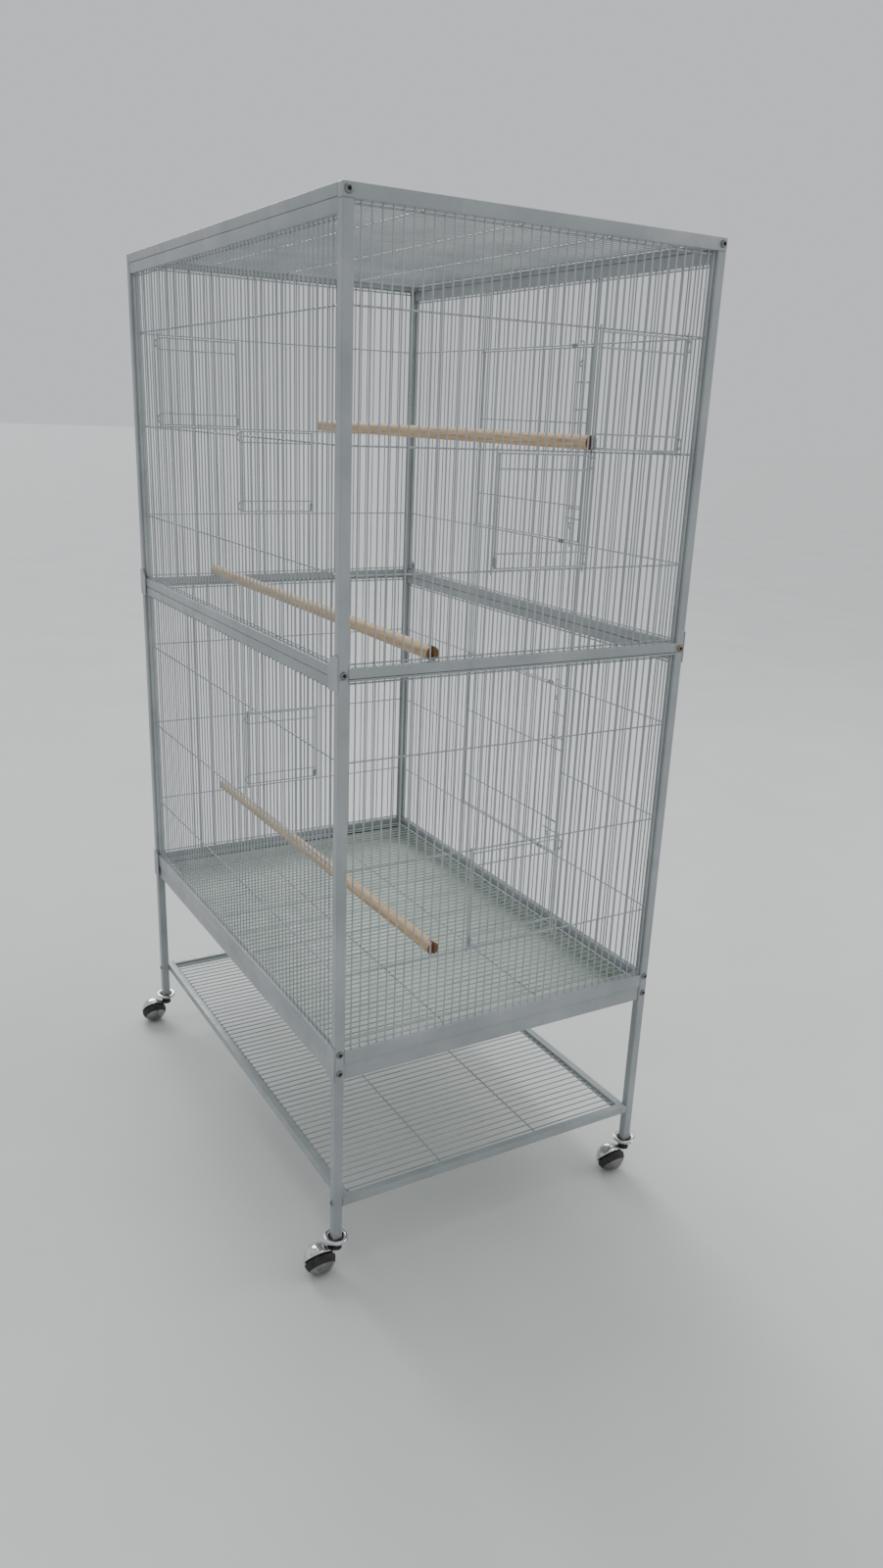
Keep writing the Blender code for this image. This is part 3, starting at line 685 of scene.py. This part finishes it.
def build_feeder_door(side, level, box):
    """A small wire door with long round-ended loops along its top and bottom and a coil catch."""
    place = WALLS[side]
    hinge = box[0]
    u0, v0, u1, v1 = door_outline(box)
    count, pitch = END_UPPER_BARS, END_UPPER_PITCH
    if level == "low":
        count, pitch = END_LOWER_BARS, END_LOWER_PITCH
    door = Builder()
    door_bars(door, place, (u0, v0, u1, v1), bar_positions(count, pitch))
    depth = BAR_DEPTH - 2 * WIRE + TOUCH
    radius = FEEDER_LOOP_RADIUS
    across = place.direction(-1, 0, 0)
    for v in (v0 + WIRE + radius, v1 - WIRE - radius):
        centre = place(hinge + radius - 0.004, v, depth)
        rounded = arc(centre, radius, 90, -90, across, UP, 14)
        door.tube([place(u1, v + radius, depth)] + rounded + [place(u1, v - radius, depth)], CROSS_WIRE)
    catch = place(u1 - HEAVY_WIRE, v0 + 0.009, BAR_DEPTH)
    outward = place.direction(0, 0, -1)
    door.tube(helix(catch, UP, outward, HEAVY_WIRE + COIL_STEP, 0.012, 7), COIL_WIRE, 6)
    name = f"feeder_door_{side}_{level}"
    door.piece(f"{name}_wires", [WIRE_PAINT], name, "painted_wire", [name])


def build_doors():
    """The two front doors with their latches, and the six feeder doors."""
    for tier, crosses in (("upper", CROSS_UPPER), ("lower", CROSS_LOWER)):
        build_front_door(tier, crosses)
        build_front_latch(tier, crosses)
    for side in ("left", "right"):
        for level, box in feeder_openings().items():
            build_feeder_door(side, level, box)


# ---- roof, grate and shelf ----------------------------------------------------------------------
def deck_wires(low, high, inset, z, cross_z, pitch, crosses):
    """Wires along Y with a few cross wires along X below them."""
    wires = Builder()
    for x in bar_positions(LONG_BARS, pitch):
        wires.tube(((x, low.y + inset, z), (x, high.y - inset, z)), WIRE)
    for y in crosses:
        left = (low.x + inset, CENTRE_Y + y, cross_z)
        right = (high.x - inset, CENTRE_Y + y, cross_z)
        wires.tube((left, right), CROSS_WIRE)
    return wires


def rounded_loop(low, high, inset, radius, z):
    """A closed rectangle with rounded corners, inset from a box's outline."""
    step = inset + radius
    left, right = low.x + step, high.x - step
    front, back = low.y + step, high.y - step
    path = []
    for i, (x, y) in enumerate(((left, front), (right, front), (right, back), (left, back))):
        first = 180 + 90 * i
        path += arc(Vector((x, y, z)), radius, first, first + 90, Vector((1, 0, 0)), Vector((0, 1, 0)), 6)
    return path


def build_tube_deck(name, z, crosses):
    """A flat frame of square tube with wires across it."""
    low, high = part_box(name)
    lap = 0.0005
    edge = 0.0010
    rails = Builder()
    for y0, y1 in ((low.y, low.y + DECK_RAIL), (high.y - DECK_RAIL, high.y)):
        rails.bar((low.x, y0, low.z), (high.x, y1, high.z), edge)
    front, back = low.y + DECK_RAIL - lap, high.y - DECK_RAIL + lap
    for x0, x1 in ((low.x, low.x + DECK_RAIL), (high.x - DECK_RAIL, high.x)):
        rails.bar((x0, front, low.z + TOUCH), (x1, back, high.z - TOUCH), edge)
    rails.piece(f"{name}_rails", [PAINT], "cage", "painted_steel", [name])
    cross_z = z - WIRE - CROSS_WIRE + TOUCH
    wires = deck_wires(low, high, DECK_RAIL - SINK, z, cross_z, LONG_PITCH, crosses)
    wires.tube(rounded_loop(low, high, DECK_RAIL + 0.0030, 0.010, cross_z), CROSS_WIRE, closed=True)
    wires.piece(f"{name}_wires", [WIRE_PAINT], "cage", "painted_steel", [name])


def build_grate():
    """The walk-on floor: wires inside a heavier border wire."""
    low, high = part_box("floor_grate")
    z = high.z - HEAVY_WIRE
    cross_z = z - WIRE - CROSS_WIRE + TOUCH
    grate = deck_wires(low, high, 0.0015, z, cross_z, GRATE_PITCH, (-0.08, 0.08))
    border = rounded_loop(low, high, 0.0025, 0.006, z - 0.0010)
    grate.tube(border, BORDER_WIRE, 10, closed=True)
    grate.piece("floor_grate_wires", [WIRE_PAINT], "cage", "painted_steel", ["floor_grate"])


def build_decks():
    """The roof, the storage shelf and the floor grate."""
    build_tube_deck("roof_panel", HEIGHT - 0.0045, (-0.13, 0.0, 0.13))
    build_tube_deck("storage_shelf", shelf_high.z - 0.0035, (-0.082, 0.082))
    build_grate()


# ---- tray ---------------------------------------------------------------------------------------
def build_tray():
    """One moulded tray: ribbed floor, upright sides with a rolled rim, and a deep front."""
    floor_low, floor_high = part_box("tray_floor")
    back_low, back_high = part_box("tray_back")
    front_low, front_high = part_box("tray_front")
    wall = back_high.y - back_low.y
    rim_wire = 0.0009
    rib_gap = 0.02
    ribs = 9
    tray = Builder()
    tray.bar(floor_low, floor_high, 0.0006)
    tray.bar((back_low.x, back_low.y, floor_low.z), back_high, 0.0005)
    for x0, x1 in ((floor_low.x, floor_low.x + wall), (floor_high.x - wall, floor_high.x)):
        tray.bar((x0, front_high.y - 0.0005, floor_low.z), (x1, back_high.y, back_high.z), 0.0005)
    tray.bar(front_low, front_high, 0.0012)
    rim = back_high.z - rim_wire
    inset = wall / 2
    tray.tube((
        (floor_low.x + inset, front_high.y, rim), (floor_low.x + inset, back_high.y - inset, rim),
        (floor_high.x - inset, back_high.y - inset, rim), (floor_high.x - inset, front_high.y, rim),
    ), rim_wire)
    for i in range(ribs):
        x = floor_low.x + (i + 1) * (floor_high.x - floor_low.x) / (ribs + 1)
        front, back = front_high.y + rib_gap, back_low.y - rib_gap
        tray.tube(((x, front, floor_high.z), (x, back, floor_high.z)), 0.0012)
    nodes = ["tray_floor", "tray_back", "tray_left", "tray_right", "tray_front"]
    tray.piece("moulded_tray", [TRAY], "tray", "tray_plastic", nodes)


# ---- perches ------------------------------------------------------------------------------------
def perch_ends(name, low, high):
    """The middles of a perch's two end faces."""
    points = [vertex.co for vertex in frame["nodes"][name].data.vertices]
    ends = []
    for x in (low.x, high.x):
        near = [point.y for point in points if abs(point.x - x) < 0.004]
        ends.append(Vector((x, (min(near) + max(near)) / 2, (low.z + high.z) / 2)))
    return ends


def perch_profile(radius, half, seed):
    """(radius, height) points of a dowel that isn't quite straight-sided, with eased ends."""
    ease = 0.0009
    steps = 60
    wobble = random.Random(seed)
    rim = [(radius - ease, half), (radius - ease * 0.3, half - ease * 0.3), (radius - 0.0001, half - ease)]
    profile = [(0.0, -half)] + [(r, -h) for r, h in rim]
    for i in range(1, steps):
        profile.append((radius - wobble.uniform(0.0, 0.00025), -half + i * 2 * half / steps))
    return profile + rim[::-1] + [(0.0, half)]


def build_perch(level):
    """A turned dowel with eased, slotted ends, laid from end wall to end wall."""
    name = f"perch_{level}"
    low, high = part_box(name)
    ends = perch_ends(name, low, high)
    axis = ends[1] - ends[0]
    middle = (ends[0] + ends[1]) / 2
    matrix = Matrix.Translation(middle) @ axis.to_track_quat("Z", "Y").to_matrix().to_4x4()
    builder = Builder()
    builder.lathe(perch_profile((high.z - low.z) / 2, axis.length / 2, len(level)), matrix, 40)
    perch = builder.piece(f"{name}_dowel", [WOOD, WOOD_END], "cage", "perch_wood", [name])
    cutter = Builder()
    slot_size = Vector((0.020, 0.0036, 0.05, 1.0))
    for end in ends:
        bm = bmesh.new()
        bmesh.ops.create_cube(bm, size=1.0, matrix=Matrix.Translation(end) @ Matrix.Diagonal(slot_size))
        cutter.solid(bm)
    tool = cutter.piece(f"{name}_cutter", [WOOD_END], "cage", "perch_wood")
    slot = perch.modifiers.new("slot", "BOOLEAN")
    slot.object = tool
    slot.operation = "DIFFERENCE"
    slot.solver = "EXACT"
    slot.material_mode = "TRANSFER"
    cut = bpy.data.meshes.new_from_object(perch.evaluated_get(bpy.context.evaluated_depsgraph_get()))
    perch.modifiers.clear()
    perch.data = cut
    bpy.data.objects.remove(tool, do_unlink=True)
    for polygon in cut.polygons:
        if abs(polygon.normal.dot(axis.normalized())) > 0.9:
            polygon.material_index = 1


# ---- bolts --------------------------------------------------------------------------------------
def bolt_head(builder, point, outward, radius=0.0048, height=0.0024, metal=0):
    """A button head with a hexagon socket."""
    matrix = Matrix.Translation(point) @ outward.to_track_quat("Z", "Y").to_matrix().to_4x4()
    socket = radius * 0.48
    builder.lathe((
        (0.0, -0.0005), (radius, -0.0005), (radius, height * 0.30), (radius * 0.93, height * 0.62),
        (radius * 0.76, height * 0.90), (radius * 0.58, height), (socket, height),
        (socket * 0.96, height * 0.35), (0.0, height * 0.30),
    ), matrix, 24, metal)
    # painted shade: a near-black hexagon deep in the socket
    builder.lathe((
        (0.0, height * 0.30), (socket * 0.9, height * 0.32), (socket * 0.9, height * 0.45),
        (0.0, height * 0.45),
    ), matrix, 6, 2)


def build_bolts():
    """The corner bolts in the ends, with rust on the front ones at the belt, and the shelf's bolts."""
    inset = POST / 2
    for side, outward in (("left", Vector((-1, 0, 0))), ("right", Vector((1, 0, 0)))):
        bolts = Builder()
        for sign in (-1, 1):
            y = CENTRE_Y + sign * (HALF_WIDTH - inset)
            x = outward.x * HALF_LENGTH
            bolt_head(bolts, Vector((x, y, HEIGHT - CAP_BOLT_DROP)), outward)
            bolt_head(bolts, Vector((x, y, BELT_BOLT_Z)), outward, metal=int(sign < 0))
            for z in BASE_BOLTS_Z:
                bolt_head(bolts, Vector((x, y, z)), outward)
        bolts.piece(f"corner_bolts_{side}", [SHADED_ZINC, SHADED_RUSTY, RECESS_SHADE], "cage", "painted_steel")
    stand = Builder()
    for face in (-1, 1):
        for end in (-1, 1):
            x = end * (HALF_LENGTH - inset)
            y = CENTRE_Y + face * HALF_WIDTH
            bolt_head(stand, Vector((x, y, SHELF_BOLT_Z)), Vector((0, face, 0)), 0.0040, 0.0020)
    stand.piece("shelf_bolts", [SHADED_ZINC, SHADED_RUSTY, RECESS_SHADE], "cage", "painted_steel")


# ---- casters ------------------------------------------------------------------------------------
def sphere_points(radius, first, last, steps):
    """(radius, height) points of a ball from one polar angle to another, in degrees."""
    points = []
    for i in range(steps + 1):
        angle = math.radians(first + (last - first) * i / steps)
        points.append((radius * math.sin(angle), radius * math.cos(angle)))
    return points


def build_flange(corner, stem, base, top):
    """The fixed plate: a grooved rim round a cup that the leg stands in, with painted shade on the cup's
    floor.
    """
    flange = Builder()
    flange.lathe((
        (0.0, base), (0.0070, base), (0.0072, base + 0.0016), (0.0120, base + 0.0018),
        (0.0150, base + 0.0024), (0.0167, base + 0.0032), (0.0170, base + 0.0042), (0.0162, base + 0.0047),
        (0.0170, base + 0.0052), (0.0170, base + 0.0060), (0.0162, base + 0.0065), (0.0166, base + 0.0070),
        (0.0158, top - 0.0002), (0.0146, top), (0.0128, top - 0.0002), (0.0118, top - 0.0010),
        (0.0112, top - 0.0026), (0.0, top - 0.0028),
    ), Matrix.Translation(stem), 56)
    # painted shade: a near-black disc on the floor of the cup under the leg
    flange.lathe((
        (0.0, top - 0.0027), (0.0109, top - 0.0025), (0.0109, top - 0.0024), (0.0, top - 0.0024),
    ), Matrix.Translation(stem), 32, 1)
    flange.piece(f"flange_{corner}", [CHROME, RECESS_SHADE], "cage", "caster_chrome", [f"caster_flange_{corner}"])


def build_hood(corner, stem, matrix, edge, base):
    """The swivelling half: a chrome half ball with a rolled edge, on a dark ribbed neck."""
    hood = Builder()
    rolled_edge = [
        (0.0, -edge), (BALL - 0.0012, -edge), (BALL - 0.0002, -0.0010), (BALL, -0.0019),
        (BALL - 0.0002, -0.0028), (BALL - 0.0009, -0.0031),
    ]
    shell = sphere_points(BALL - 0.0007, 100, 180, 16)[:-1]
    hood.lathe(rolled_edge + shell + [(0.0, -BALL + 0.0007)], matrix, 56)
    hood.lathe((
        (0.0, BALL + 0.0105), (0.0084, BALL + 0.0105), (0.0080, BALL + 0.0140), (0.0073, BALL + 0.0146),
        (0.0073, BALL + 0.0156), (0.0080, BALL + 0.0162), (0.0080, base - 0.0042), (0.0073, base - 0.0037),
        (0.0073, base - 0.0029), (0.0080, base - 0.0024), (0.0080, base - 0.0003), (0.0, base - 0.0003),
    ), Matrix.Translation(stem), 36, 1)
    body = f"caster_swivel_{corner}"
    hood.piece(f"hood_{corner}", [CHROME, RUBBER], body, "caster_chrome", [f"caster_hood_{corner}"])


def build_wheel(corner, matrix, edge):
    """The rolling half: a black tyre round a ringed chrome cap, painted darker than the hood as painted
    shade on the ball's lower half.
    """
    wheel = Builder()
    tyre = [(0.0, edge), (BALL - 0.0022, edge), (BALL - 0.0012, 0.0018)]
    tyre += sphere_points(BALL, 83, 57, 12)
    tyre += sphere_points(BALL - 0.0008, 55, 54, 1)
    wheel.lathe(tyre + [(0.0, 0.0120)], matrix, 64, 1)
    # the cap takes the darker chrome: painted shade on the ball's lower half
    cap = BALL - 0.0004
    rings = [(0.0, 0.0110), (cap * 0.80, 0.0115)]
    rings += sphere_points(cap, 57, 38, 8)
    rings += sphere_points(cap - 0.0008, 36, 33, 2)
    rings += sphere_points(cap, 31, 14, 6)
    rings += sphere_points(cap - 0.0006, 12, 4, 2)
    wheel.lathe(rings + [(0.0, cap - 0.0006)], matrix, 56)
    name = f"caster_wheel_{corner}"
    wheel.piece(f"wheel_{corner}", [SHADED_CHROME, RUBBER], name, "caster_chrome", [name])


def build_caster(corner):
    """A ball caster under one leg: the ball trails behind the stem and its axis leans."""
    flange_low, flange_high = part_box(f"caster_flange_{corner}")
    stem = Vector(((flange_low.x + flange_high.x) / 2, (flange_low.y + flange_high.y) / 2, 0.0))
    centre = stem + Vector((0.0, TRAIL, BALL))
    axis = Vector((-math.cos(TILT), 0.0, -math.sin(TILT)))
    lead = Vector((math.sin(TILT), 0.0, -math.cos(TILT)))
    turn = Matrix((lead, axis.cross(lead), axis)).transposed().to_4x4()
    matrix = Matrix.Translation(centre) @ turn
    edge = 0.0006
    build_flange(corner, stem, flange_low.z, flange_high.z)
    build_hood(corner, stem, matrix, edge, flange_low.z)
    build_wheel(corner, matrix, edge)


# ---- CAD nodes that stay ------------------------------------------------------------------------
def dress(prefixes, material):
    """Gives the CAD nodes whose shape is right their finish."""
    for name, obj in frame["nodes"].items():
        if name.startswith(prefixes) and not obj.hide_render:
            obj.data.materials.clear()
            obj.data.materials.append(material)
            for polygon in obj.data.polygons:
                polygon.material_index = 0


# ---- stage, light and camera --------------------------------------------------------------------
def build_floor():
    """A wide, plain, pale floor."""
    bm = bmesh.new()
    bmesh.ops.create_grid(bm, x_segments=2, y_segments=2, size=60.0)
    mesh = bpy.data.meshes.new("floor")
    bm.to_mesh(mesh)
    bm.free()
    floor = bpy.data.objects.new("floor", mesh)
    bpy.context.scene.collection.objects.link(floor)
    s = Shader("floor_matt", specular=0.25)
    s.set("Base Color", s.ramp(s.noise(0.4, 3.0), ((0.3, (0.60, 0.60, 0.59)), (0.7, (0.64, 0.64, 0.63)))))
    s.shader.inputs["Roughness"].default_value = 0.75
    mesh.materials.append(s.material)


def area_light(name, place, target, size, power, colour):
    """A soft rectangular light that the camera doesn't see."""
    light = bpy.data.lights.new(name, "AREA")
    light.shape = "RECTANGLE"
    light.size, light.size_y = size
    light.energy = power
    light.color = colour
    obj = bpy.data.objects.new(name, light)
    obj.location = place
    obj.rotation_euler = (Vector(target) - Vector(place)).to_track_quat("-Z", "Y").to_euler()
    obj.visible_camera = False
    bpy.context.scene.collection.objects.link(obj)


def build_light():
    """Pale surroundings, a broad window light from the cage's far side, and two weak fills."""
    world = bpy.data.worlds.new("studio")
    world.use_nodes = True
    background = world.node_tree.nodes["Background"]
    background.inputs["Color"].default_value = (0.80, 0.83, 0.86, 1.0)
    background.inputs["Strength"].default_value = 0.82
    bpy.context.scene.world = world
    middle = (0.0, 0.0, 0.75)
    window = bpy.data.lights.new("window", "SUN")
    window.energy = 2.1
    window.angle = math.radians(35)
    window.color = (0.95, 0.98, 1.0)
    sun = bpy.data.objects.new("window", window)
    sun.rotation_euler = Vector((-0.80, 0.08, -0.55)).to_track_quat("-Z", "Y").to_euler()
    bpy.context.scene.collection.objects.link(sun)
    area_light("overhead", (0.6, -1.2, 4.2), middle, (3.0, 3.0), 45, (1.0, 1.0, 1.0))
    area_light("side_fill", (-1.6, -3.4, 2.2), middle, (2.2, 2.2), 22, (1.0, 0.98, 0.96))


def build_camera():
    """The photograph's viewpoint: off the back left corner, a little below the cage's top."""
    data = bpy.data.cameras.new("camera")
    data.sensor_width = 36.0
    data.lens = CAMERA_LENS
    data.shift_x, data.shift_y = CAMERA_SHIFT
    data.clip_start = 0.05
    data.clip_end = 60.0
    camera = bpy.data.objects.new("camera", data)
    forward = Vector(CAMERA_FORWARD).normalized()
    right = Vector(CAMERA_RIGHT).normalized()
    up = right.cross(forward).normalized()
    right = forward.cross(up)
    camera.matrix_world = Matrix((
        (right.x, up.x, -forward.x, CAMERA_PLACE[0]),
        (right.y, up.y, -forward.y, CAMERA_PLACE[1]),
        (right.z, up.z, -forward.z, CAMERA_PLACE[2]),
        (0.0, 0.0, 0.0, 1.0),
    ))
    bpy.context.scene.collection.objects.link(camera)
    bpy.context.scene.camera = camera


build_walls()
build_doors()
build_decks()
build_tray()
for perch_level in ("upper", "middle", "lower"):
    build_perch(perch_level)
build_bolts()
for corner_name in CORNERS:
    build_caster(corner_name)
dress(("post_", "leg_", "connector_", "tray_band"), PAINT)
build_floor()
build_light()
build_camera()
